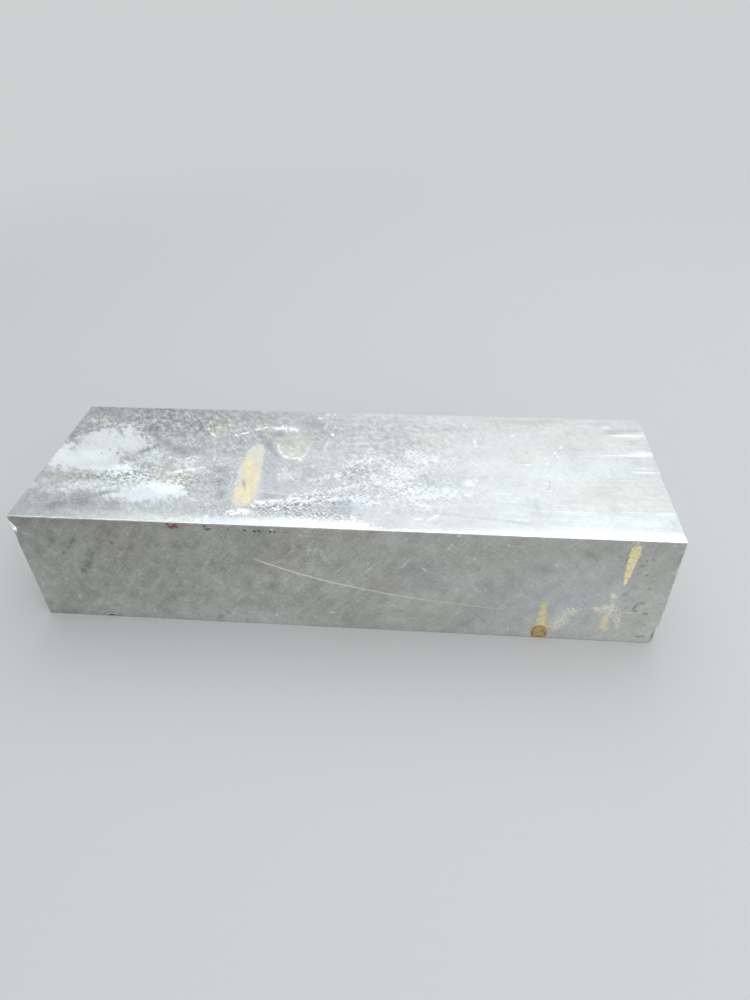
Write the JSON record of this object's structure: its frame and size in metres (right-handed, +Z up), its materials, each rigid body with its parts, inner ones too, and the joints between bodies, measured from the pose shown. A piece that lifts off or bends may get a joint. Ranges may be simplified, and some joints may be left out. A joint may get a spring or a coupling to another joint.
{
  "type": "aluminium block",
  "caption": "Rectangular offcut of bare aluminium flat bar with sawn ends, a stained top, scratches and bruised edges.",
  "frame": {"origin": "middle of the underside, where the block rests", "axes": "+X along the bar towards its right end, +Z up, and -Y out of the narrower side that faces the viewer"},
  "size_m": [0.2364, 0.0762, 0.0508],
  "materials": {
    "bare_aluminium": "satin"
  },
  "bodies": {
    "root": {"aluminium_block": "bare_aluminium"}
  },
  "joints": []
}
